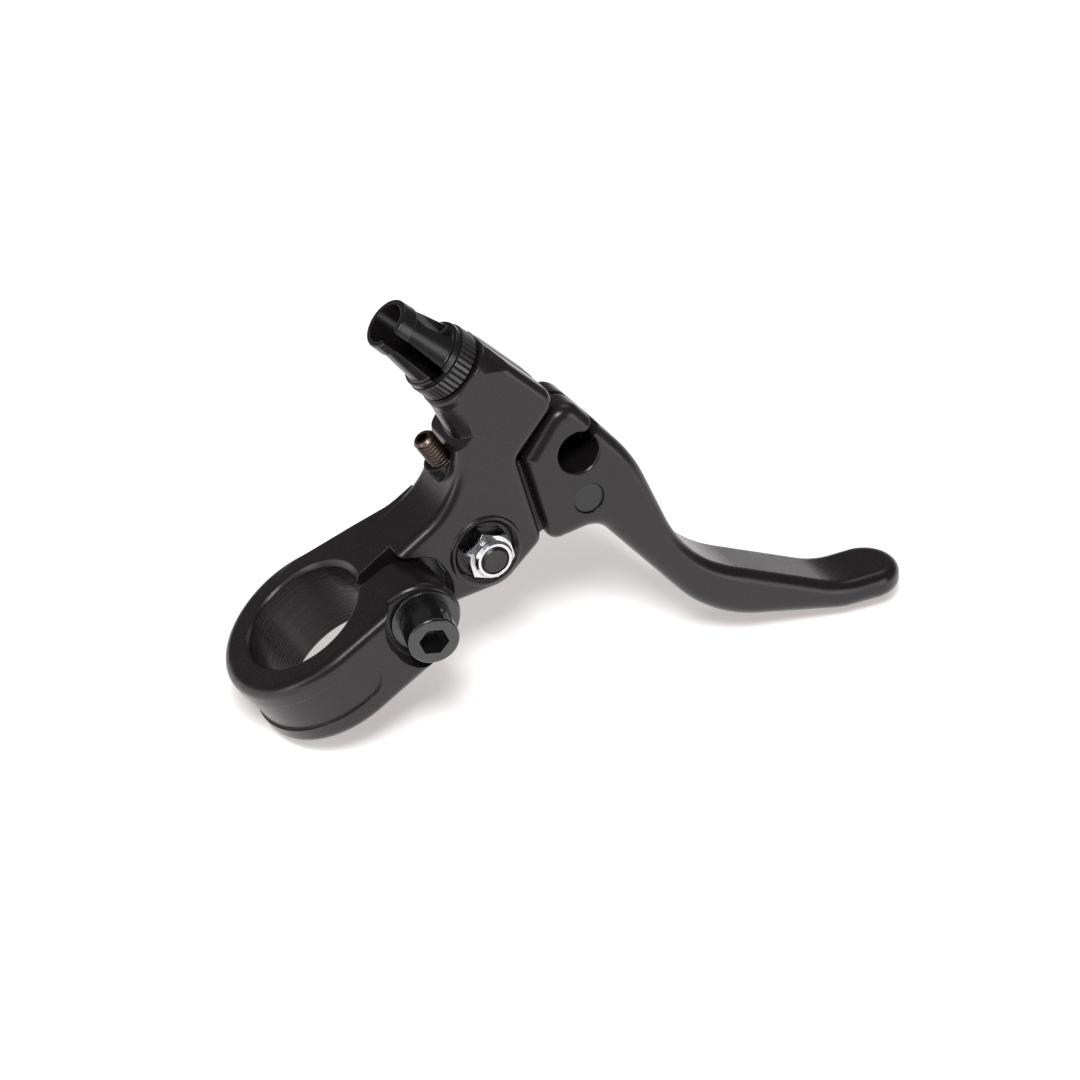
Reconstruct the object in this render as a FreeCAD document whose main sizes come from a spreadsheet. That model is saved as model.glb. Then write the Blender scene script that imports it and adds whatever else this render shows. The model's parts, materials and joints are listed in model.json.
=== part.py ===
"""Cable-pull hand lever with its handlebar perch, as a parametric FreeCAD document.

Frame, in millimetres: the origin is the centre of the handlebar bore, +X runs along the bar
towards the blade's tip, +Y points away from the bar, and +Z is the pivot axis, towards the nut.
Angles are in degrees.
"""
import FreeCAD, Part
import math
import os

import Sketcher
from FreeCAD import Placement, Rotation, Vector

doc = FreeCAD.newDocument("hand_lever")
sheet = doc.addObject("Spreadsheet::Sheet", "sizes")

JOIN_TOLERANCE = 1e-5

DRIVING_SIZES = {
    # bar clamp
    "bar_bore_radius": 11.1, "clamp_radius": 16.6, "clamp_width": 14.6, "bore_chamfer": 0.5,
    "rim_round": 1.8, "panel_width": 6.8, "panel_depth": 0.4,
    "slit_floor": 2.7, "slit_roof": 5.0, "ear_end": 21.9, "ear_round": 1.3,
    # forked body
    "cheek_span": 13.5, "cheek_round": 1.8, "fork_gap": 7.5,
    "pivot_x": 3.2, "pivot_y": 31.0, "pivot_boss_radius": 6.7, "pivot_boss_face": 7.2,
    "nut_recess_radius": 5.3, "nut_seat": 5.5,
    # cable line
    "cable_angle": 14.2, "boss_x": -25.3, "boss_y": 46.55, "boss_radius": 7.3,
    "stem_hole_radius": 5.0, "stem_hole_depth": 11.0, "cable_bore_radius": 2.6,
    "cable_slot_width": 2.0,
    # lever
    "lever_width": 13.4, "tongue_width": 6.5, "hub_radius": 7.0, "blade_round": 2.3,
    "nipple_x": 0.6, "nipple_y": 54.0, "nipple_radius": 3.85, "nipple_floor": -4.0,
    "cross_pin_x": 9.2, "cross_pin_y": 50.5, "cross_pin_radius": 2.9, "cross_pin_length": 12.9,
    # pivot hardware
    "pivot_bolt_radius": 2.5, "running_gap": 0.05, "bush_radius": 3.5,
    "bush_flange_radius": 4.75, "bush_flange": 0.45, "bush_length": 2.9,
    "nut_flats": 8.0, "nut_height": 5.1, "nut_hex_height": 3.6, "nut_turn": 14.0, "nut_collar_radius": 3.5,
    "insert_radius": 3.0,
    # barrel adjuster and its lock ring
    "barrel_lead": 15.7, "barrel_collar_radius": 4.5, "barrel_collar_length": 2.9,
    "barrel_seat_radius": 3.55, "barrel_seat_depth": 9.5, "barrel_slot_width": 2.7,
    "barrel_roll": 19.0, "barrel_flange_radius": 6.2, "stem_radius": 4.95, "stem_length": 9.0,
    "ring_start": 11.9, "ring_length": 3.3, "ring_radius": 6.5, "rib_count": 40, "rib_depth": 0.45,
    # reach screw
    "reach_y": 35.3, "reach_radius": 2.0, "reach_hole_radius": 2.05, "reach_tip": -18.6,
    "reach_length": 14.3, "thread_pitch": 0.7, "reach_socket_flats": 2.0,
    # clamp bolt
    "clamp_tilt": 11.0, "clamp_seat_y": 15.35, "clamp_seat_z": 14.3, "clamp_bolt_radius": 3.0,
    "clamp_head_radius": 4.5, "clamp_head_height": 6.0, "clamp_socket_flats": 4.6,
    "clamp_bolt_length": 20.0, "spotface_radius": 6.95, "clamp_washer": 0.8,
    "clamp_washer_radius": 5.95,
}

for row, (alias, value) in enumerate(DRIVING_SIZES.items(), start=1):
    sheet.set(f"A{row}", alias)
    sheet.set(f"B{row}", str(value))
    sheet.setAlias(f"B{row}", alias)
doc.recompute()


def size(alias):
    """The value in one cell of the sheet."""
    return float(sheet.get(alias))


def bind(feature, prop, formula):
    """Ties a property to the sheet. Bare words in the formula are the sheet's aliases."""
    words = formula.replace("(", " ( ").replace(")", " ) ").split()
    linked = [f"sizes.{word}" if word in DRIVING_SIZES else word for word in words]
    feature.setExpression(prop, " ".join(linked))


# ---------------------------------------------------------------- sketches
def new_body(name):
    body = doc.addObject("PartDesign::Body", name)
    body.Label = name
    return body


def own_origin(body, role):
    """The plane or axis of the body's own origin with this role."""
    return next(item for item in body.Origin.OriginFeatures if item.Role == role)


def new_sketch(body, role, offset=None):
    """A sketch on the body's origin plane with this role, moved by an offset in that plane's frame."""
    sketch = body.newObject("Sketcher::SketchObject", f"{body.Label}_sketch")
    sketch.AttachmentSupport = [(own_origin(body, role), "")]
    sketch.MapMode = "FlatFace"
    if offset is not None:
        sketch.AttachmentOffset = offset
    return sketch


def add_circle(sketch, radius, x="0", y="0"):
    """A circle whose radius and centre are formulas on the sheet."""
    index = sketch.addGeometry(Part.Circle(Vector(0, 0, 0), Vector(0, 0, 1), 1.0), False)
    for kind, formula in (("DistanceX", x), ("DistanceY", y)):
        place = sketch.addConstraint(Sketcher.Constraint(kind, -1, 1, index, 3, 0.0))
        bind(sketch, f"Constraints[{place}]", formula)
    place = sketch.addConstraint(Sketcher.Constraint("Radius", index, 1.0))
    bind(sketch, f"Constraints[{place}]", radius)


def rounded_outline(corners):
    """Lines and tangent arcs of a closed polygon. Each corner is (x, y, rounding radius)."""
    pieces = []
    stops = []
    for index, (x, y, radius) in enumerate(corners):
        corner = Vector(x, y, 0)
        before = Vector(*corners[index - 1][:2], 0) - corner
        after = Vector(*corners[(index + 1) % len(corners)][:2], 0) - corner
        before.normalize()
        after.normalize()
        if radius == 0:
            stops.append((corner, None, corner))
            continue
        half = before.getAngle(after) / 2
        reach = radius / math.tan(half)
        bisector = (before + after).normalize()
        middle = corner + bisector * (radius / math.sin(half) - radius)
        stops.append((corner + before * reach, middle, corner + after * reach))
    for index, (start, middle, end) in enumerate(stops):
        if middle is not None:
            pieces.append(Part.Arc(start, middle, end))
        following = stops[(index + 1) % len(stops)][0]
        if (following - end).Length > JOIN_TOLERANCE:
            pieces.append(Part.LineSegment(end, following))
    return pieces


def vertex_at(sketch, index, point):
    """Which end of a piece of the sketch lies at this point: 1 for its start, 2 for its end."""
    return 1 if sketch.getPoint(index, 1).distanceToPoint(point) < JOIN_TOLERANCE else 2


def add_outline(sketch, corners):
    """Draws a rounded polygon and joins its pieces end to end."""
    pieces = rounded_outline(corners)
    first = sketch.GeometryCount
    sketch.addGeometry(pieces, False)
    for index, piece in enumerate(pieces):
        here = first + index
        following = first + (index + 1) % len(pieces)
        ends = (vertex_at(sketch, here, piece.EndPoint), vertex_at(sketch, following, piece.EndPoint))
        sketch.addConstraint(Sketcher.Constraint("Coincident", here, ends[0], following, ends[1]))


def hexagon(flats, x=0.0, y=0.0, turn=0.0):
    """Corners of a hexagon with this width across its flats; the first flat faces +X turned by turn."""
    reach = flats / math.sqrt(3)
    turns = [math.radians(turn + 30 + 60 * step) for step in range(6)]
    return [(x + reach * math.cos(at), y + reach * math.sin(at), 0) for at in turns]


# ---------------------------------------------------------------- features
def volume_of(body):
    doc.recompute()
    return body.Shape.Volume if body.Tip else 0.0


def pad(body, sketch, length, symmetric=False, backwards=False):
    before = volume_of(body)
    feature = body.newObject("PartDesign::Pad", f"{body.Label}_pad")
    feature.Profile = sketch
    feature.SideType = "Symmetric" if symmetric else "One side"
    feature.Reversed = backwards
    bind(feature, "Length", length)
    assert volume_of(body) > before, f"a pad of {body.Label} adds nothing"
    return feature


def pocket(body, sketch, length=None, symmetric=False, forwards=False):
    """Cuts against the sketch's normal, or along it when forwards. No length cuts through all."""
    before = volume_of(body)
    feature = body.newObject("PartDesign::Pocket", f"{body.Label}_pocket")
    feature.Profile = sketch
    feature.SideType = "Symmetric" if symmetric else "One side"
    feature.Reversed = forwards
    if length is None:
        feature.Type = "ThroughAll"
    else:
        bind(feature, "Length", length)
    assert volume_of(body) < before, f"a pocket of {body.Label} cuts nothing"
    return feature


def revolve(body, sketch, kind="Revolution", angle=360.0, axis="H_Axis"):
    """Turns a sketch about one of its own axes, to add a Revolution or cut a Groove."""
    before = volume_of(body)
    feature = body.newObject(f"PartDesign::{kind}", f"{body.Label}_{kind.lower()}")
    feature.Profile = sketch
    feature.ReferenceAxis = (sketch, [axis])
    feature.Midplane = True
    feature.Angle = angle
    after = volume_of(body)
    assert after > before if kind == "Revolution" else after < before, f"{kind} of {body.Label} does nothing"
    return feature


def dress(body, kind, amount, chosen):
    """Rounds or bevels every edge of the body so far that the chosen test picks."""
    doc.recompute()
    base = body.Tip
    names = [f"Edge{n}" for n, edge in enumerate(base.Shape.Edges, start=1) if chosen(edge)]
    assert names, f"no edges to dress on {body.Label}"
    feature = body.newObject(f"PartDesign::{kind}", f"{body.Label}_{kind.lower()}")
    feature.Base = (base, names)
    bind(feature, "Radius" if kind == "Fillet" else "Size", amount)
    doc.recompute()
    return feature


def middle_of(edge):
    return edge.valueAt((edge.FirstParameter + edge.LastParameter) / 2)


def near(value, goal, slack=0.02):
    return abs(value - goal) < slack


# ---------------------------------------------------------------- shared places
HALF_CHEEK = size("cheek_span") / 2
HALF_LEVER = size("lever_width") / 2
PIVOT = Vector(size("pivot_x"), size("pivot_y"), 0)
CABLE_TURN = Rotation(Vector(0, 0, 1), size("cable_angle"))
BOSS_FACE = Vector(size("boss_x"), size("boss_y"), 0)
CLAMP_TURN = Rotation(Vector(1, 0, 0), size("clamp_tilt"))
SCREW_BOSS_FACE = -13.3
CLAMP_SEAT = Vector(0, size("clamp_seat_y"), size("clamp_seat_z"))

# A half plane through the cable line that no edge of the body lies in, for profiles turned about it.
OFF_SEAM = CABLE_TURN.multiply(Rotation(Vector(1, 0, 0), 40))

# Outer corners of the fork's cheeks, from the cable boss round to the clamp.
GAP_TOP = (-10.3, 57.05, 3.2)
GAP_INNER = (-6.55, 45.2, 1.8)
CHEEK_CORNERS = [
    (-26.9, 52.85, 0), GAP_TOP, GAP_INNER, (9.7, 39.9, 2.5), (11.6, 30.2, 6.6),
    (7.4, 20.5, 5.0), (7.4, 17.0, 0), (-8.0, 17.0, 0), (-8.6, 39.6, 14.6), (-23.7, 39.9, 0),
]

# The middle of the blade's end, and the way the blade runs there.
TIP = Vector(72.0, 88.0, 0)
BLADE_TURN = Rotation(Vector(0, 0, 1), 60.0)

# Outer corners of the lever seen along the pivot, from the nose along the finger side and back.
LEVER_CORNERS = [
    (-10.3, 58.1, 3.8), (9.5, 61.5, 30.0), (35.2, 57.5, 26.0), (62.5, 77.0, 18.0),
    (69.6, 89.4, 0), (74.4, 86.6, 0), (67.0, 74.5, 14.0), (48.2, 54.6, 28.0),
    (15.2, 49.4, 5.0), (11.8, 40.6, 2.2), (-5.15, 45.75, 1.4),
]


# ---------------------------------------------------------------- lever bracket
def build_bracket():
    """Perch in one casting: forked body, bar clamp ring, ear, cable boss and screw boss."""
    body = new_body("lever_bracket")
    cheeks = new_sketch(body, "XY_Plane")
    add_outline(cheeks, CHEEK_CORNERS)
    pad(body, cheeks, "cheek_span", symmetric=True)
    dress(body, "Fillet", "cheek_round", lambda edge: near(abs(middle_of(edge).z), HALF_CHEEK)
          and middle_of(edge).y > 17.5 and middle_of(edge).x > -24)
    shape_cable_boss(body)
    add_screw_boss(body)
    add_pivot_bosses(body)
    add_clamp(body)
    cut_clamp_bolt_holes(body)
    cut_fork(body)
    cut_cable_passage(body)
    cut_reach_screw_hole(body)
    return body


def shape_cable_boss(body):
    """Turns the body's cable end round, so that it flares from the boss's face into the cheeks."""
    flare = new_sketch(body, "XY_Plane", Placement(BOSS_FACE, OFF_SEAM))
    radius = size("boss_radius")
    outer = radius + 6.0
    lip = radius - 0.8
    add_outline(flare, [(-4, lip, 0), (0, lip, 0), (0, radius, 0.8), (1.6, radius, 0), (7.4, 9.6, 0),
                        (7.4, outer, 0), (-4, outer, 0)])
    revolve(body, flare, "Groove")


def add_screw_boss(body):
    """Short round boss where the reach screw enters the hollow flank."""
    boss = new_sketch(body, "YZ_Plane", Placement(Vector(0, 0, SCREW_BOSS_FACE), Rotation()))
    add_circle(boss, "3.05", "reach_y")
    pad(body, boss, "4")


def add_pivot_bosses(body):
    """Low round bosses on both cheeks, round the pivot."""
    for face in (1, -1):
        boss = new_sketch(body, "XY_Plane")
        add_circle(boss, "pivot_boss_radius", "pivot_x", "pivot_y")
        pad(body, boss, "pivot_boss_face", backwards=face < 0)
        dress(body, "Fillet", "0.5", lambda edge: near(middle_of(edge).z, face * size("pivot_boss_face")))


def add_clamp(body):
    """Clamp ring, the web that carries it, the ear above the slit, and the bar's bore."""
    floor, roof = size("slit_floor"), size("slit_roof")
    outer = size("clamp_radius")
    half = size("clamp_width") / 2
    end = size("ear_end")
    recess = new_sketch(body, "XY_Plane", Placement(Vector(0, 0, floor), Rotation()))
    add_outline(recess, [(-12.0, 8.0, 0), (8.6, 8.0, 0), (8.6, end + 1.8, 7.8), (-3.0, end + 1.8, 4.6),
                         (-7.2, end - 2.9, 1.5), (-12.0, end - 2.9, 0)])
    pocket(body, recess, "20", forwards=True)

    ear = new_sketch(body, "XY_Plane", Placement(Vector(0, 0, roof), Rotation()))
    add_outline(ear, [(-half, 0, 0), (half, 0, 0), (half, end, half), (-half, end, half)])
    pad(body, ear, "clamp_radius - slit_roof")
    dress(body, "Fillet", "rim_round", lambda edge: near(middle_of(edge).z, outer) and middle_of(edge).y > 0.1)

    web = new_sketch(body, "XY_Plane", Placement(Vector(0, 0, floor), Rotation()))
    add_outline(web, [(-half, 0.5, 0), (half, 0.5, 0), (half, 17.0, 0), (7.6, 24.0, 0), (7.6, 29.0, 0),
                      (-8.2, 29.0, 0), (-8.0, 17.0, 0)])
    pad(body, web, "clamp_radius + slit_floor", backwards=True)
    below = new_sketch(body, "YZ_Plane")
    back = -HALF_CHEEK
    add_outline(below, [(-1, -18, 0), (-1, -14.2, 0), (4.6, -14.2, 3.0), (23.8, back, 9.0), (40, back, 0), (40, -18, 0)])
    pocket(body, below, "40", symmetric=True)

    ring = new_sketch(body, "XY_Plane")
    rim = size("rim_round")
    add_outline(ring, [(-half, 0, 0), (-half, outer, rim), (half, outer, rim), (half, 0, 0)])
    revolve(body, ring)

    slit = new_sketch(body, "YZ_Plane")
    add_outline(slit, [(6.0, floor, 0), (18.0, floor, 0), (18.0, roof, 0), (6.0, roof, 0)])
    pocket(body, slit, "40", symmetric=True)

    bore = new_sketch(body, "XY_Plane")
    inner = size("bar_bore_radius")
    bevel = size("bore_chamfer")
    clear = 2.0
    add_outline(bore, [(-half - clear, 0, 0), (-half - clear, inner + bevel + clear, 0), (-half + bevel, inner, 0),
                       (half - bevel, inner, 0), (half + clear, inner + bevel + clear, 0), (half + clear, 0, 0)])
    revolve(body, bore, "Groove")
    cut_panel(body)


def cut_panel(body):
    """Shallow round-ended channel that wraps the clamp ring's outside."""
    half = size("panel_width") / 2
    floor = size("clamp_radius") - size("panel_depth")
    start, end = 90.0, 220.0
    middle = Rotation(Vector(1, 0, 0), (start + end) / 2)
    wrap = new_sketch(body, "XY_Plane", Placement(Vector(0, 0, 0), middle))
    add_outline(wrap, [(-half, floor, 0), (-half, floor + 3, 0), (half, floor + 3, 0), (half, floor, 0)])
    revolve(body, wrap, "Groove", angle=end - start)
    face = new_sketch(body, "XY_Plane", Placement(Vector(0, 0, floor), Rotation()))
    add_outline(face, [(-half, -0.2, 0), (half, -0.2, 0), (half, 3.8, half - 0.01), (-half, 3.8, half - 0.01)])
    pocket(body, face, "3", forwards=True)


def is_ear_edge(edge):
    """True for the spotface's outer edge, where it runs out over the ear's sides and end."""
    in_seat = Placement(CLAMP_SEAT, CLAMP_TURN).inverse().multVec(middle_of(edge))
    return near(in_seat.z, 0) and in_seat.Length > size("spotface_radius") - 1.0 and in_seat.y > -3


def cut_clamp_bolt_holes(body):
    """Spotface, clearance hole and thread for the leaning clamp bolt, and the ear's rounded edge."""
    seat = Placement(CLAMP_SEAT, CLAMP_TURN)
    spotface = new_sketch(body, "XY_Plane", seat)
    wide = size("spotface_radius")
    side = wide + 1.0
    add_outline(spotface, [(-side, -wide, wide), (side, -wide, wide), (side, 15, 0), (-side, 15, 0)])
    pocket(body, spotface, "12", forwards=True)
    dress(body, "Fillet", "ear_round", is_ear_edge)
    hole = new_sketch(body, "XY_Plane", seat)
    add_circle(hole, "clamp_bolt_radius + 0.3")
    pocket(body, hole, "8")
    thread = new_sketch(body, "XY_Plane", seat)
    add_circle(thread, "clamp_bolt_radius + 0.02")
    pocket(body, thread, "clamp_bolt_length + 1")


def cut_fork(body):
    """Slot between the cheeks for the lever's tongue, with the pivot hole and the nut's round recess."""
    slot = new_sketch(body, "XY_Plane")
    wall = -5.2
    bottom = size("pivot_y") - size("hub_radius") - 0.7
    add_outline(slot, [(wall - 6.2, 62, 0), (wall - 6.2, 55, 0), (wall, 44, 4), (wall, bottom, 7.6), (20, bottom, 0),
                       (20, 62, 0)])
    pocket(body, slot, "fork_gap", symmetric=True)
    hole = new_sketch(body, "XY_Plane")
    add_circle(hole, "pivot_bolt_radius + 0.02", "pivot_x", "pivot_y")
    pocket(body, hole, "40", symmetric=True)
    recess = new_sketch(body, "XZ_Plane", Placement(Vector(PIVOT.x, 0, -PIVOT.y), Rotation()))
    floor, lip, radius = size("nut_seat"), size("pivot_boss_face"), size("nut_recess_radius")
    bevel = 0.7
    add_outline(recess, [(0, floor, 0), (radius, floor, 0), (radius, lip - bevel, 0), (radius + 2 * bevel, lip + bevel, 0),
                         (0, lip + bevel, 0)])
    revolve(body, recess, "Groove", axis="V_Axis")


def cut_cable_passage(body):
    """Threaded hole for the barrel adjuster, the cable's bore, and the slot that lets the cable in."""
    wide, narrow, depth = size("stem_hole_radius"), size("cable_bore_radius"), size("stem_hole_depth")
    passage = new_sketch(body, "XY_Plane", Placement(BOSS_FACE, OFF_SEAM))
    add_outline(passage, [(-1, 0, 0), (24, 0, 0), (24, narrow, 0), (depth, narrow, 0), (depth, wide, 0), (-1, wide, 0)])
    revolve(body, passage, "Groove")
    slot = new_sketch(body, "XY_Plane", Placement(BOSS_FACE, CABLE_TURN))
    add_outline(slot, [(-1, 0, 0), (20, 0, 0), (20, 9, 0), (-1, 9, 0)])
    pocket(body, slot, "cable_slot_width", symmetric=True)


def cut_reach_screw_hole(body):
    """Threaded hole through the screw boss into the fork's gap, with a bevelled mouth."""
    screw = new_sketch(body, "YZ_Plane", Placement(Vector(0, 0, -16), Rotation()))
    add_circle(screw, "reach_hole_radius", "reach_y")
    pocket(body, screw, "14", forwards=True)
    mouth = new_sketch(body, "XY_Plane", Placement(Vector(SCREW_BOSS_FACE, size("reach_y"), 0), Rotation()))
    hole, bevel = size("reach_hole_radius"), 0.5
    add_outline(mouth, [(-1, 0, 0), (bevel + 1, 0, 0), (bevel, hole - 0.02, 0), (-1, hole + bevel + 1, 0)])
    revolve(body, mouth, "Groove")


# ---------------------------------------------------------------- lever blade
def build_blade():
    """Two-finger lever: nose with the cable pocket, tongue on the pivot, neck and curled blade."""
    body = new_body("lever_blade")
    side = new_sketch(body, "XY_Plane")
    add_outline(side, LEVER_CORNERS)
    pad(body, side, "lever_width", symmetric=True)
    round_tip(body)
    dress(body, "Fillet", "blade_round", is_blade_edge)
    add_tongue(body)
    cut_cable_pocket(body)
    for radius, place in (("bush_radius", "pivot"), ("cross_pin_radius", "cross_pin")):
        hole = new_sketch(body, "XY_Plane")
        add_circle(hole, radius, f"{place}_x", f"{place}_y")
        pocket(body, hole, "40", symmetric=True)
    return body


def round_tip(body):
    """Rounds the blade's end, seen square on to the side that fingers pull."""
    facing_fingers = BLADE_TURN.multiply(Rotation(Vector(1, 0, 0), 90))
    trim = new_sketch(body, "XY_Plane", Placement(TIP, facing_fingers))
    half = HALF_LEVER
    bend = half - 0.1
    add_outline(trim, [(-half, -half - 2, 0), (-half, -half, 0), (-0.1, -half, bend), (-0.1, half, bend),
                       (-half, half, 0), (-half, half + 2, 0), (9.0, half + 2, 0), (9.0, -half - 2, 0)])
    pocket(body, trim, "30", symmetric=True)


def is_blade_edge(edge):
    """True for the edges along the lever's two flat sides and round its end."""
    middle = middle_of(edge)
    if near(abs(middle.z), HALF_LEVER):
        return True
    in_blade = BLADE_TURN.inverted().multVec(middle - TIP)
    chord = BLADE_TURN.inverted().multVec(edge.valueAt(edge.LastParameter) - edge.valueAt(edge.FirstParameter))
    return in_blade.x > -HALF_LEVER - 0.5 and abs(chord.normalize().y) < 0.9


def add_tongue(body):
    """Narrow hub that turns between the cheeks."""
    tongue = new_sketch(body, "XY_Plane")
    hub = size("hub_radius")
    low = PIVOT.y - hub
    add_outline(tongue, [(PIVOT.x - hub - 0.4, 50.0, 0), (PIVOT.x - hub - 0.4, low, hub), (PIVOT.x + hub, low, hub),
                         (PIVOT.x + hub, 50.0, 0)])
    pad(body, tongue, "tongue_width", symmetric=True)


def cut_cable_pocket(body):
    """Round pocket for the cable's end, its opening past the nose, and the cable's slot."""
    seat = Placement(Vector(0, 0, size("nipple_floor")), Rotation())
    hole = new_sketch(body, "XY_Plane", seat)
    add_circle(hole, "nipple_radius", "nipple_x", "nipple_y")
    pocket(body, hole, "20", forwards=True)
    x, y = size("nipple_x"), size("nipple_y")
    mouth = new_sketch(body, "XZ_Plane", Placement(Vector(x, 0, -y), Rotation()))
    radius, bevel = size("nipple_radius"), 0.3
    add_outline(mouth, [(0, HALF_LEVER - bevel, 0), (radius, HALF_LEVER - bevel, 0),
                        (radius + 2 * bevel, HALF_LEVER + bevel, 0), (0, HALF_LEVER + bevel, 0)])
    revolve(body, mouth, "Groove", axis="V_Axis")
    opening = new_sketch(body, "XY_Plane")
    add_outline(opening, [(x - 2.6, y, 0), (x - 0.7, y, 0), (x - 0.7, y + 12, 0), (x - 7.0, y + 12, 0),
                          (x - 2.6, y + 4.4, 2.5)])
    pocket(body, opening, "20", forwards=True)
    slot = new_sketch(body, "XY_Plane", Placement(Vector(x, y, 0), CABLE_TURN))
    add_outline(slot, [(-16, -1.2, 0), (0, -1.2, 0), (6.8, 4.0, 0), (6.8, 12, 0), (-16, 12, 0)])
    pocket(body, slot, "1.8", symmetric=True)


# ---------------------------------------------------------------- pivot hardware
def build_turned(name, profile, placement):
    """A body turned from half a profile of (distance along its axis, radius, rounding)."""
    body = new_body(name)
    half = new_sketch(body, "XY_Plane")
    add_outline(half, profile)
    revolve(body, half)
    body.Placement = placement
    return body


def cut_hex_socket(body, flats, depth, at=0.0):
    """Hexagon socket in the end face at this distance along the body's X axis."""
    socket = new_sketch(body, "YZ_Plane", Placement(Vector(0, 0, at), Rotation()))
    add_outline(socket, hexagon(size(flats)))
    pocket(body, socket, depth, forwards=True)


def facing(direction, point, turn=0.0):
    """A placement whose X axis looks this way, for turned parts."""
    return Placement(point, Rotation(Vector(1, 0, 0), direction).multiply(Rotation(Vector(1, 0, 0), turn)))


def build_pivot_bolt():
    """Button-head bolt, with its head under the far cheek and its thread through the nut."""
    radius = size("pivot_bolt_radius")
    head = 2.75
    grip = size("pivot_boss_face") + size("nut_seat") + size("nut_height") + 0.3
    end = head + grip
    body = build_turned("pivot_bolt", [
        (0, 0, 0), (0, 4.75, 2.2), (head, 4.75, 0.2), (head, radius, 0), (end - 0.5, radius, 0),
        (end, 2.0, 0), (end, 0, 0)], facing(Vector(0, 0, 1), PIVOT - Vector(0, 0, size("pivot_boss_face") + head)))
    cut_hex_socket(body, "reach_socket_flats", "1.8")
    return body


def build_pivot_nut():
    """Locking nut: a hexagon with a round collar that holds the insert."""
    body = new_body("pivot_nut")
    hexagonal = new_sketch(body, "XY_Plane")
    add_outline(hexagonal, hexagon(size("nut_flats")))
    pad(body, hexagonal, "nut_height")
    shoulder = new_sketch(body, "XZ_Plane")
    top, bevel = size("nut_hex_height"), 0.45
    collar = size("nut_collar_radius")
    across_corners = size("nut_flats") / math.sqrt(3)
    add_outline(shoulder, [(across_corners + 1, -1, 0), (across_corners + 1, 9, 0), (collar - 0.4, 9, 0),
                           (collar - 0.4, size("nut_height"), 0), (collar, size("nut_height") - 0.5, 0),
                           (collar, top, 0), (size("nut_flats") / 2 - 0.1, top, 0),
                           (across_corners, top - bevel, 0), (across_corners, bevel, 0),
                           (size("nut_flats") / 2, 0, 0), (size("nut_flats") / 2, -1, 0)])
    revolve(body, shoulder, "Groove", axis="V_Axis")
    thread = new_sketch(body, "XZ_Plane")
    bore = size("pivot_bolt_radius") + 0.02
    room = size("insert_radius")
    roof = size("nut_height") - 0.4
    add_outline(thread, [(0, -1, 0), (bore, -1, 0), (bore, top + 0.2, 0), (room, top + 0.2, 0), (room, roof, 0),
                         (bore + 0.1, roof, 0), (bore + 0.1, 9, 0), (0, 9, 0)])
    revolve(body, thread, "Groove", axis="V_Axis")
    body.Placement = Placement(PIVOT + Vector(0, 0, size("nut_seat")), Rotation(Vector(0, 0, 1), size("nut_turn")))
    return body


def build_nut_insert():
    """Nylon ring that grips the bolt's thread."""
    bore = size("pivot_bolt_radius") + 0.02
    outer = size("insert_radius") - 0.02
    low = size("nut_hex_height") + 0.22
    high = size("nut_height") - 0.42
    return build_turned("pivot_nut_insert", [(low, bore, 0), (low, outer, 0), (high, outer, 0), (high, bore, 0)],
                        facing(Vector(0, 0, 1), PIVOT + Vector(0, 0, size("nut_seat"))))


def build_bushes():
    """Flanged bushes pressed into the tongue from either side."""
    bore = size("pivot_bolt_radius") + size("running_gap")
    outer = size("bush_radius") - 0.01
    flange, length = size("bush_flange"), size("bush_length")
    profile = [(0, bore, 0), (0, size("bush_flange_radius"), 0), (flange, size("bush_flange_radius"), 0),
               (flange, outer, 0), (flange + length, outer, 0), (flange + length, bore, 0)]
    face = Vector(0, 0, size("tongue_width") / 2 + flange)
    return [build_turned("pivot_bush_nut_side", profile, facing(Vector(0, 0, -1), PIVOT + face)),
            build_turned("pivot_bush_head_side", profile, facing(Vector(0, 0, 1), PIVOT - face))]


def build_cross_pin():
    """Plain pin pressed through the lever, flush with both sides."""
    radius = size("cross_pin_radius") - 0.02
    half = size("cross_pin_length") / 2
    centre = Vector(size("cross_pin_x"), size("cross_pin_y"), 0)
    return build_turned("lever_cross_pin", [(-half, 0, 0), (-half, radius, 0.3), (half, radius, 0.3), (half, 0, 0)],
                        facing(Vector(0, 0, 1), centre))


# ---------------------------------------------------------------- reach screw
def build_reach_screw():
    """Socket set screw that stops the lever. Its thread is drawn as rings one pitch apart."""
    radius, length, pitch = size("reach_radius"), size("reach_length"), size("thread_pitch")
    body = build_turned("reach_screw", [
        (0, 0, 0), (0, radius - 0.45, 0), (0.45, radius, 0), (length - 0.6, radius, 0),
        (length, radius - 0.6, 0), (length, 0, 0)],
        Placement(Vector(size("reach_tip"), size("reach_y"), 0), Rotation()))
    groove = new_sketch(body, "XY_Plane")
    depth = 0.36
    add_outline(groove, [(0.75, radius + 0.1, 0), (0.75 + pitch * 0.5, radius - depth, 0),
                         (0.75 + pitch, radius + 0.1, 0)])
    cut = revolve(body, groove, "Groove")
    rings = body.newObject("PartDesign::LinearPattern", "reach_screw_rings")
    rings.Originals = [cut]
    rings.Direction = (groove, ["H_Axis"])
    rings.Occurrences = int((length - 2.4) / pitch)
    rings.Length = pitch * (rings.Occurrences - 1)
    body.Tip = rings
    cut_hex_socket(body, "reach_socket_flats", "2.5")
    return body


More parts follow.
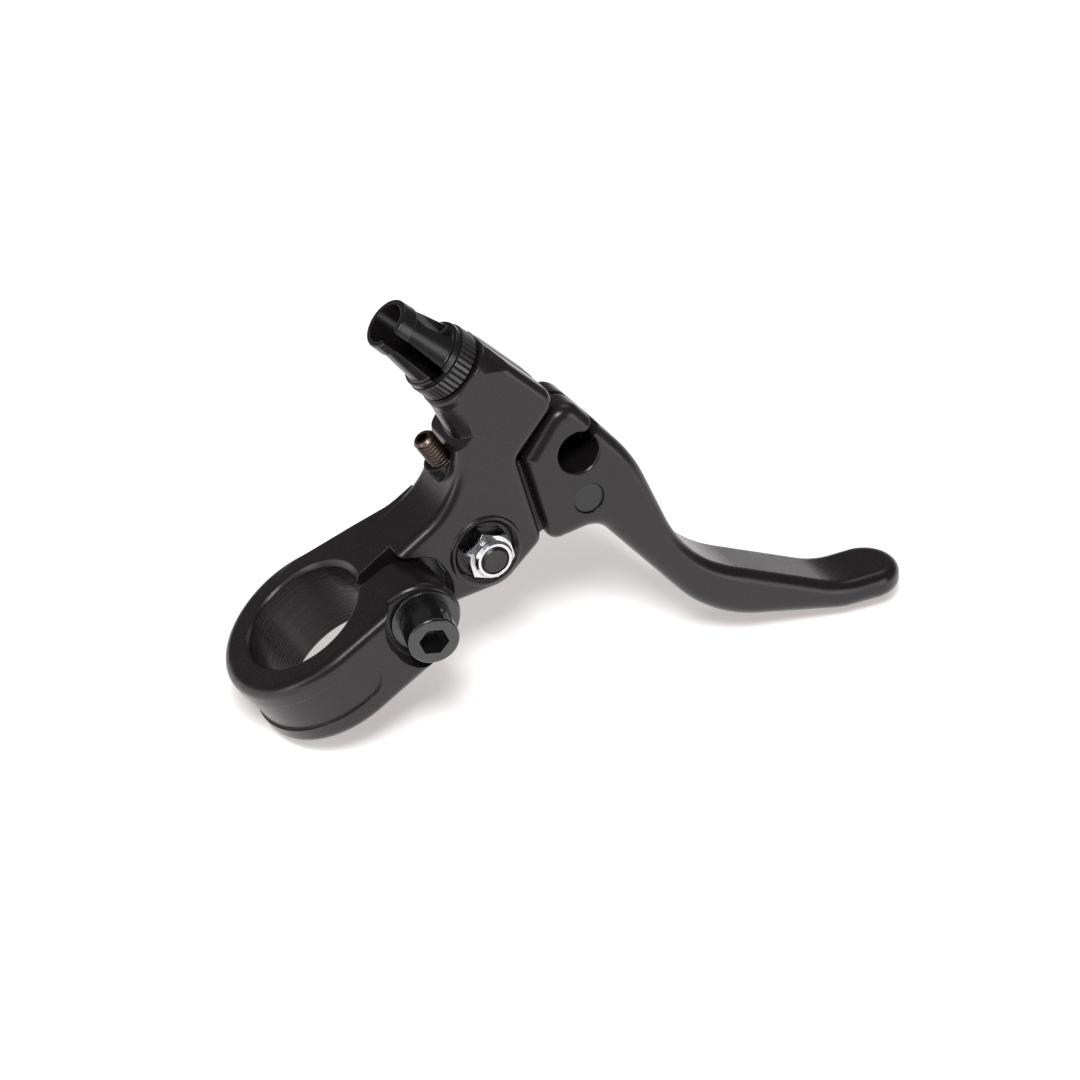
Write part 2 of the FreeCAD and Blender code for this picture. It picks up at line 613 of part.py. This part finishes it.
# ---------------------------------------------------------------- barrel adjuster
def build_barrel():
    """Slotted cable adjuster: collar, tapered body, flange and threaded stem, tip at its origin."""
    collar, flange, stem = size("barrel_collar_radius"), size("barrel_flange_radius"), size("stem_radius")
    lead, start, seat = size("barrel_collar_length"), size("ring_start"), size("barrel_seat_radius")
    end = size("barrel_lead") + size("stem_length")
    narrow, deep = size("cable_bore_radius") - 0.4, size("barrel_seat_depth")
    body = build_turned("barrel_adjuster", [
        (0, seat, 0), (0, collar, 0.35), (lead, collar + 0.15, 0.2), (lead, collar - 0.15, 0),
        (start - 1.3, collar + 0.95, 0.3), (start - 1.3, flange, 0.3), (start - 0.1, flange, 0.2),
        (start - 0.1, stem, 0), (end - 0.6, stem, 0), (end, stem - 0.6, 0), (end, narrow, 0),
        (deep, narrow, 0), (deep, seat, 0)],
        Placement(BOSS_FACE - CABLE_TURN.multVec(Vector(size("barrel_lead"), 0, 0)),
                  CABLE_TURN.multiply(Rotation(Vector(1, 0, 0), size("barrel_roll")))))
    quarter = Rotation(Vector(1, 0, 0), 90)
    flat = new_sketch(body, "XY_Plane", Placement(Vector(0, -collar + 0.2, 0), quarter))
    add_outline(flat, [(lead + 0.3, -1.7, 0), (start - 1.6, -1.7, 1.2), (start - 1.6, 1.7, 1.2), (lead + 0.3, 1.7, 0)])
    cut = pocket(body, flat, "4", forwards=True)
    flats = body.newObject("PartDesign::PolarPattern", "barrel_flats")
    flats.Originals = [cut]
    flats.Axis = (own_origin(body, "X_Axis"), [""])
    flats.Angle = 180
    flats.Occurrences = 3
    body.Tip = flats
    slot = new_sketch(body, "XY_Plane")
    half = size("barrel_slot_width") / 2
    add_outline(slot, [(-1, -half, 0), (end + 1, -half, 0), (end + 1, half, 0), (-1, half, 0)])
    pocket(body, slot, "9", forwards=True)
    return body


def build_lock_ring():
    """Knurled ring that locks the adjuster against the boss."""
    radius, length, depth = size("ring_radius"), size("ring_length"), size("rib_depth")
    bore = size("stem_radius") + size("running_gap")
    body = build_turned("barrel_lock_ring", [(0, bore, 0), (0, radius, 0.3), (length, radius, 0.3), (length, bore, 0)],
                        Placement(BOSS_FACE - CABLE_TURN.multVec(
                            Vector(size("barrel_lead") - size("ring_start"), 0, 0)), CABLE_TURN))
    groove = new_sketch(body, "YZ_Plane", Placement(Vector(0, 0, -1), Rotation()))
    half_rib = math.pi * radius / size("rib_count") / 2
    add_outline(groove, [(-half_rib, radius + 0.1, 0), (0, radius - depth, 0), (half_rib, radius + 0.1, 0)])
    cut = pocket(body, groove, "10", forwards=True)
    ribs = body.newObject("PartDesign::PolarPattern", "lock_ring_ribs")
    ribs.Originals = [cut]
    ribs.Axis = (groove, ["N_Axis"])
    ribs.Angle = 360
    bind(ribs, "Occurrences", "rib_count")
    body.Tip = ribs
    return body


# ---------------------------------------------------------------- clamp hardware
def build_clamp_bolt():
    """Socket-head bolt that closes the slit. Its axis leans towards the bar."""
    head, radius, tall = size("clamp_head_radius"), size("clamp_bolt_radius"), size("clamp_head_height")
    washer = size("clamp_washer")
    end = tall + size("clamp_bolt_length") - washer
    outward = CLAMP_TURN.multVec(Vector(0, 0, 1))
    body = build_turned("clamp_bolt", [
        (0, 0, 0), (0, head, 0.5), (tall, head, 0.2), (tall, radius, 0), (end - 0.8, radius, 0),
        (end, radius - 0.8, 0), (end, 0, 0)],
        facing(outward * -1, CLAMP_SEAT + outward * (washer + tall), turn=20))
    cut_hex_socket(body, "clamp_socket_flats", "3.2")
    return body


def build_clamp_washer():
    """Flat washer on the spotface."""
    bore, outer = size("clamp_bolt_radius") + 0.15, size("clamp_washer_radius")
    outward = CLAMP_TURN.multVec(Vector(0, 0, 1))
    return build_turned("clamp_washer", [(0, bore, 0), (0, outer, 0.15), (size("clamp_washer"), outer, 0.15),
                                         (size("clamp_washer"), bore, 0)], facing(outward, CLAMP_SEAT))


# ---------------------------------------------------------------- checks and files
def check_document():
    for item in doc.Objects:
        troubles = {"Invalid", "Error"} & set(item.State)
        assert not troubles, f"{item.Label} is {troubles}"


def write_files(pieces):
    os.makedirs("parts", exist_ok=True)
    for piece in pieces:
        shape = piece.Shape
        assert not shape.isNull() and shape.isValid(), f"{piece.Label} has a bad shape"
        assert len(shape.Solids) == 1, f"{piece.Label} has {len(shape.Solids)} solids"
        shape.exportStep(f"parts/{piece.Label}.step")
        print(piece.Label, round(shape.Volume, 1), shape.BoundBox)


pieces = [
    build_bracket(), build_blade(), build_pivot_bolt(), build_pivot_nut(), build_nut_insert(), *build_bushes(),
    build_cross_pin(), build_reach_screw(), build_barrel(), build_lock_ring(), build_clamp_bolt(),
    build_clamp_washer(),
]
doc.recompute()
check_document()
write_files(pieces)
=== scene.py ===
"""Studio picture of a cable-pull hand lever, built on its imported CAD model.

Lengths are metres in the model's own frame: the handlebar bore is at the origin, +X runs along
the bar, +Y away from it and +Z along the lever's pivot.
"""
import json
import math

import bpy
import numpy as np
from mathutils import Matrix, Vector


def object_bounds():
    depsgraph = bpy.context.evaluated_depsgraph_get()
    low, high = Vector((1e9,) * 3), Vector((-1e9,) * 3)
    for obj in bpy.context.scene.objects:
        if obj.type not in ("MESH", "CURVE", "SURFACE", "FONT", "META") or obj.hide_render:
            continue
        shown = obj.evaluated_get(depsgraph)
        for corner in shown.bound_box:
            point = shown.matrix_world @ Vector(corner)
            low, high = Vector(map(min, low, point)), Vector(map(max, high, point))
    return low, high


MM = 0.001

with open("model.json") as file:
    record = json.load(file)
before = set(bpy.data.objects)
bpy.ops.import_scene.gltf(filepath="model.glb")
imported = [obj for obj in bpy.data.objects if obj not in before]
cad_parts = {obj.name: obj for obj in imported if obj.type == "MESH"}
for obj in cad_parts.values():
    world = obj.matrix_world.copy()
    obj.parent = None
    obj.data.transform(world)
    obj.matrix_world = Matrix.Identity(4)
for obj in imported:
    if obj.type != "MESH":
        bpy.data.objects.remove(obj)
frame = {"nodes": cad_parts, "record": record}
cad_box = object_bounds()
nodes = frame["nodes"]


# ---------------------------------------------------------------- view and floor directions
# The camera stands more than half a metre from the lever, off its nut side, with a long lens.
CAMERA_RIGHT = Vector((0.51221, 0.75156, 0.41568)).normalized()
CAMERA_BACK = Vector((-0.58976, -0.04406, 0.80638)).normalized()
CAMERA_UP = CAMERA_BACK.cross(CAMERA_RIGHT)
CAMERA_PLACE = Vector((-324.66, 14.41, 462.92)) * MM
CAMERA_LENS = 109.2
CAMERA_SENSOR = 36.0
CAMERA_NEAR = 0.01
CAMERA_FAR = 20.0

# The object lies on the floor on its clamp ring and its blade, so the floor leans in the model's frame.
FLOOR_TILT = math.radians(38.0)
FLOOR_ROLL = math.radians(6.0)
FLOOR_REACH = 1.0

# The floor glows by itself, a little warm, and the room lights everything a little.
FLOOR_COLOUR = (0.85, 0.85, 0.85, 1)
FLOOR_GLOW = 0.4
FLOOR_GLOW_COLOUR = (1, 0.93, 0.91, 1)
ROOM_GLOW = 0.14
ROOM_COLOUR = (1, 1, 1, 1)
LIGHT_DISTANCE = 0.9


def floor_normal():
    """The floor's upward direction, from its lean towards the camera and its roll."""
    level = CAMERA_UP * math.cos(FLOOR_ROLL) + CAMERA_RIGHT * math.sin(FLOOR_ROLL)
    return (level * math.cos(FLOOR_TILT) + CAMERA_BACK * math.sin(FLOOR_TILT)).normalized()


FLOOR_UP = floor_normal()
FLOOR_RIGHT = (CAMERA_RIGHT - FLOOR_UP * CAMERA_RIGHT.dot(FLOOR_UP)).normalized()
FLOOR_FRONT = FLOOR_RIGHT.cross(FLOOR_UP)


def vertices_of(obj):
    places = np.zeros(len(obj.data.vertices) * 3, np.float32)
    obj.data.vertices.foreach_get("co", places)
    return places.reshape(-1, 3)


def floor_height():
    """How far along the floor's normal the object's lowest point is."""
    normal = np.array(FLOOR_UP)
    return min(float((vertices_of(node) @ normal).min()) for node in nodes.values())


# ---------------------------------------------------------------- materials
# The clamp's bore runs along X. Its mount in the record gives its radius and the length of its wall.
BAR_CLAMP = next(mount for mount in frame["record"]["mounts"] if mount["name"] == "bar_clamp")["dims"]
BORE_RADIUS = BAR_CLAMP["r_mm"] * MM
BORE_HALF_LENGTH = BAR_CLAMP["length_mm"] / 2 * MM
TURNING_PITCH = 0.4 * MM


class Graph:
    """A small helper that adds nodes to a material and links them."""

    def __init__(self, name):
        self.material = bpy.data.materials.new(name)
        self.material.use_nodes = True
        self.tree = self.material.node_tree
        self.surface = self.tree.nodes["Principled BSDF"]
        self.place = self.add("ShaderNodeTexCoord").outputs["Object"]

    def add(self, kind, **settings):
        node = self.tree.nodes.new(kind)
        for name, value in settings.items():
            setattr(node, name, value)
        return node

    def feed(self, node, socket, source):
        """Links a socket of another node, or sets a plain value."""
        if isinstance(source, bpy.types.NodeSocket):
            self.tree.links.new(source, node.inputs[socket])
        else:
            node.inputs[socket].default_value = source
        return node

    def noise(self, size, detail=3.0, roughness=0.55):
        """Noise whose features are about this many metres across."""
        node = self.add("ShaderNodeTexNoise")
        self.feed(node, "Vector", self.place)
        node.inputs["Scale"].default_value = 1.0 / size
        node.inputs["Detail"].default_value = detail
        node.inputs["Roughness"].default_value = roughness
        return node.outputs["Fac"]

    def spread(self, source, low, high, start=0.3, end=0.7):
        """Maps the range from start to end onto the range from low to high, and holds it there."""
        node = self.add("ShaderNodeMapRange")
        self.feed(node, "Value", source)
        for socket, value in (("From Min", start), ("From Max", end), ("To Min", low), ("To Max", high)):
            node.inputs[socket].default_value = value
        return node.outputs["Result"]

    def tint(self, source, dark, light):
        """A colour between dark and light. The colours are the mix node's sockets 6 and 7."""
        node = self.add("ShaderNodeMix", data_type="RGBA")
        self.feed(node, 0, source)
        node.inputs[6].default_value = (*dark, 1)
        node.inputs[7].default_value = (*light, 1)
        return node.outputs[2]

    def combined(self, operation, first, second):
        node = self.add("ShaderNodeMath", operation=operation)
        self.feed(node, 0, first)
        self.feed(node, 1, second)
        return node.outputs["Value"]

    def product(self, first, second):
        return self.combined("MULTIPLY", first, second)

    def sum_of_squares(self, first, second):
        return self.combined("ADD", self.product(first, first), self.product(second, second))

    def bump(self, source, height, under=None):
        node = self.add("ShaderNodeBump")
        node.inputs["Distance"].default_value = height
        self.feed(node, "Height", source)
        if under is not None:
            self.feed(node, "Normal", under)
        return node.outputs["Normal"]

    def finish(self, **sockets):
        for socket, source in sockets.items():
            self.feed(self.surface, socket.replace("_", " "), source)
        return self.material


def coated_black(name, base, roughness, grain, height, edge_radius, sheen_level=0.5):
    """Black coating over metal with fine grain, slow unevenness and softly rounded edges."""
    graph = Graph(name)
    slow = graph.noise(9 * MM)
    fine = graph.noise(grain, detail=2.0)
    speckle = graph.spread(graph.noise(0.35 * MM, detail=5.0, roughness=0.7), 0.86, 1.14)
    tone = graph.tint(slow, [part * 0.86 for part in base], [part * 1.14 for part in base])
    sheen = graph.product(graph.spread(slow, roughness * 0.92, roughness * 1.08), speckle)
    bevel = graph.add("ShaderNodeBevel", samples=6)
    bevel.inputs["Radius"].default_value = edge_radius
    relief = graph.bump(fine, height, bevel.outputs["Normal"])
    return graph.finish(Base_Color=tone, Roughness=sheen, Normal=relief, Specular_IOR_Level=sheen_level)


def casting_black():
    """The bracket's and the lever's coating. The clamp's bore shows turning marks through it, and its
    reflections are turned down there as painted shade.
    """
    graph = Graph("satin_black_casting")
    slow = graph.noise(9 * MM)
    fine = graph.noise(0.11 * MM, detail=2.0)
    speckle = graph.spread(graph.noise(0.3 * MM, detail=5.0, roughness=0.7), 0.84, 1.16)
    axes = graph.feed(graph.add("ShaderNodeSeparateXYZ"), "Vector", graph.place)
    off_axis = graph.combined("POWER", graph.sum_of_squares(axes.outputs["Y"], axes.outputs["Z"]), 0.5)
    near_wall = graph.spread(off_axis, 1.0, 0.0, BORE_RADIUS + 0.2 * MM, BORE_RADIUS + 0.4 * MM)
    short_of_end = graph.spread(axes.outputs["X"], 1.0, 0.0, BORE_HALF_LENGTH + 0.4 * MM,
                                BORE_HALF_LENGTH + 0.6 * MM)
    in_bore = graph.product(near_wall, short_of_end)
    marks = graph.add("ShaderNodeTexNoise", noise_dimensions="1D")
    waver = graph.product(slow, TURNING_PITCH)
    graph.feed(marks, "W", graph.combined("ADD", axes.outputs["X"], waver))
    marks.inputs["Scale"].default_value = 1 / TURNING_PITCH
    marks.inputs["Detail"].default_value = 4.0
    turning = graph.product(graph.spread(marks.outputs["Fac"], -0.35, 0.35), in_bore)
    tone = graph.tint(slow, (0.0066, 0.0048, 0.0052), (0.0094, 0.0072, 0.0077))
    plain = graph.product(graph.spread(slow, 0.245, 0.29), speckle)
    sheen = graph.combined("ADD", plain, graph.product(turning, 0.5))
    bevel = graph.add("ShaderNodeBevel", samples=8)
    bevel.inputs["Radius"].default_value = 0.35 * MM
    grained = graph.bump(fine, 0.005 * MM, bevel.outputs["Normal"])
    relief = graph.bump(turning, 0.03 * MM, grained)
    # Painted shade: the specular level drops inside the clamp's bore so that the hollow looks darker.
    shine_with_painted_bore_shade = graph.spread(in_bore, 0.46, 0.3, 0.0, 1.0)
    return graph.finish(Base_Color=tone, Roughness=sheen, Normal=relief, Specular_IOR_Level=shine_with_painted_bore_shade)


def bare_metal(name, base, roughness, grain, height, edge_radius=0.1 * MM):
    """Bare or plated metal with slow unevenness, fine grain and softly rounded edges in its shading."""
    graph = Graph(name)
    slow = graph.noise(2.5 * MM)
    fine = graph.noise(grain, detail=4.0)
    tone = graph.tint(slow, [part * 0.85 for part in base], base)
    sheen = graph.spread(slow, roughness * 0.8, roughness * 1.3)
    bevel = graph.add("ShaderNodeBevel", samples=6)
    bevel.inputs["Radius"].default_value = edge_radius
    relief = graph.bump(fine, height, bevel.outputs["Normal"])
    return graph.finish(Base_Color=tone, Roughness=sheen, Metallic=1.0, Normal=relief)


def moulded(name, base, roughness):
    """Plain moulded plastic with a fine grain."""
    graph = Graph(name)
    slow = graph.noise(3 * MM)
    fine = graph.noise(0.12 * MM, detail=2.0)
    tone = graph.tint(slow, [part * 0.85 for part in base], [part * 1.1 for part in base])
    return graph.finish(Base_Color=tone, Roughness=roughness, Normal=graph.bump(fine, 0.004 * MM))


CASTING = casting_black()
GLOSS = coated_black("gloss_black_aluminium", (0.006, 0.0052, 0.0052), roughness=0.24,
                     grain=0.2 * MM, height=0.002 * MM, edge_radius=0.12 * MM)
SATIN = coated_black("satin_black_aluminium", (0.012, 0.0105, 0.011), roughness=0.33,
                     grain=0.1 * MM, height=0.004 * MM, edge_radius=0.08 * MM, sheen_level=0.8)
BOLT_BLACK = coated_black("gloss_black_steel", (0.006, 0.006, 0.0064), roughness=0.2,
                          grain=0.3 * MM, height=0.002 * MM, edge_radius=0.15 * MM, sheen_level=0.85)
PIN_BLACK = coated_black("satin_black_steel", (0.018, 0.018, 0.0185), roughness=0.5,
                         grain=0.1 * MM, height=0.006 * MM, edge_radius=0.1 * MM)
CHROME = bare_metal("chrome_steel", (0.70, 0.70, 0.72), roughness=0.14, grain=0.2 * MM, height=0.001 * MM)
DULL_STEEL = bare_metal("zinc_steel", (0.07, 0.066, 0.066), roughness=0.42, grain=0.25 * MM,
                        height=0.02 * MM)
OXIDE = bare_metal("dark_steel", (0.13, 0.10, 0.085), roughness=0.3, grain=0.15 * MM, height=0.003 * MM,
                   edge_radius=0.06 * MM)
NYLON = moulded("nylon", (0.05, 0.05, 0.055), roughness=0.5)
BUSH = moulded("bush_polymer", (0.025, 0.025, 0.027), roughness=0.55)

FINISHES = {
    "lever_bracket": CASTING, "lever_blade": CASTING, "lever_cross_pin": PIN_BLACK,
    "pivot_bolt": DULL_STEEL, "pivot_nut": CHROME, "pivot_nut_insert": NYLON,
    "pivot_bush_nut_side": BUSH, "pivot_bush_head_side": BUSH,
    "reach_screw": OXIDE, "barrel_adjuster": GLOSS, "barrel_lock_ring": SATIN,
    "clamp_bolt": BOLT_BLACK, "clamp_washer": BOLT_BLACK,
}


def paint(obj, material):
    """Gives the object this material and no other."""
    obj.data.materials.clear()
    obj.data.materials.append(material)


# ---------------------------------------------------------------- studio
def build_floor():
    """White floor with a glow of its own. Seen from below it is clear, so it never hides the object."""
    graph = Graph("studio_table")
    graph.finish(Base_Color=FLOOR_COLOUR, Roughness=0.9, Specular_IOR_Level=0.0,
                 Emission_Color=FLOOR_GLOW_COLOUR, Emission_Strength=FLOOR_GLOW)
    back = graph.add("ShaderNodeNewGeometry").outputs["Backfacing"]
    clear = graph.add("ShaderNodeBsdfTransparent").outputs["BSDF"]
    mix = graph.add("ShaderNodeMixShader")
    graph.feed(mix, 0, back)
    graph.feed(mix, 1, graph.surface.outputs["BSDF"])
    graph.feed(mix, 2, clear)
    output = graph.tree.nodes["Material Output"]
    graph.feed(output, "Surface", mix.outputs["Shader"])

    mesh = bpy.data.meshes.new("studio_floor")
    middle = FLOOR_UP * floor_height()
    corners = [middle + (FLOOR_RIGHT * across + FLOOR_FRONT * along) * FLOOR_REACH
               for across, along in ((-1, 1), (1, 1), (1, -1), (-1, -1))]
    mesh.from_pydata(corners, [], [(0, 1, 2, 3)])
    if mesh.polygons[0].normal.dot(FLOOR_UP) < 0:
        mesh.flip_normals()
    floor = bpy.data.objects.new("studio_floor", mesh)
    bpy.context.scene.collection.objects.link(floor)
    paint(floor, graph.material)


def softbox(name, turn, height, width, depth, radiance, in_reflections=True):
    """A rectangular light aimed at the object, placed by two angles in degrees.

    Turn 0 is behind the object and 90 is to its right, and height is above the floor.
    """
    data = bpy.data.lights.new(name, "AREA")
    data.shape = "RECTANGLE"
    data.size, data.size_y = width, depth
    data.energy = radiance * math.pi * width * depth
    light = bpy.data.objects.new(name, data)
    bpy.context.scene.collection.objects.link(light)
    target = (cad_box[0] + cad_box[1]) / 2
    turn, height = math.radians(turn), math.radians(height)
    level = FLOOR_RIGHT * math.sin(turn) - FLOOR_FRONT * math.cos(turn)
    light.location = target + (level * math.cos(height) + FLOOR_UP * math.sin(height)) * LIGHT_DISTANCE
    light.rotation_mode = "QUATERNION"
    light.rotation_quaternion = (target - light.location).to_track_quat("-Z", "Y")
    light.visible_glossy = in_reflections


def build_room():
    """A dim white room that the camera itself sees as plain white."""
    world = bpy.data.worlds.new("studio_world")
    world.use_nodes = True
    tree = world.node_tree
    background = tree.nodes["Background"]
    background.inputs["Color"].default_value = ROOM_COLOUR
    seen = tree.nodes.new("ShaderNodeLightPath").outputs["Is Camera Ray"]
    strength = tree.nodes.new("ShaderNodeMapRange")
    strength.inputs["To Min"].default_value = ROOM_GLOW
    strength.inputs["To Max"].default_value = 1.0
    tree.links.new(seen, strength.inputs["Value"])
    tree.links.new(strength.outputs["Result"], background.inputs["Strength"])
    bpy.context.scene.world = world


def build_lights():
    """The shadow softbox darkens the shadow of the key softbox without brightening the highlights."""
    softbox("key_softbox", turn=192, height=56, width=0.3, depth=0.26, radiance=18.0)
    softbox("shadow_softbox", turn=192, height=56, width=0.26, depth=0.22, radiance=21.0,
            in_reflections=False)
    softbox("fill_softbox", turn=222, height=34, width=0.5, depth=0.5, radiance=0.9)
    softbox("back_softbox", turn=20, height=58, width=0.5, depth=0.4, radiance=1.2)
    softbox("right_softbox", turn=118, height=14, width=0.5, depth=0.35, radiance=2.6)
    softbox("left_softbox", turn=236, height=10, width=0.4, depth=0.3, radiance=3.2)


def build_camera():
    """A camera that looks down its own backward direction, with its three directions as columns."""
    data = bpy.data.cameras.new("camera")
    data.sensor_width = CAMERA_SENSOR
    data.lens = CAMERA_LENS
    data.clip_start, data.clip_end = CAMERA_NEAR, CAMERA_FAR
    camera = bpy.data.objects.new("camera", data)
    bpy.context.scene.collection.objects.link(camera)
    turn = Matrix((CAMERA_RIGHT, CAMERA_UP, CAMERA_BACK)).transposed()
    camera.matrix_world = Matrix.Translation(CAMERA_PLACE) @ turn.to_4x4()
    bpy.context.scene.camera = camera


for node_name, finish in FINISHES.items():
    paint(nodes[node_name], finish)

build_room()
build_floor()
build_lights()
build_camera()
bpy.context.scene.view_settings.view_transform = "Standard"
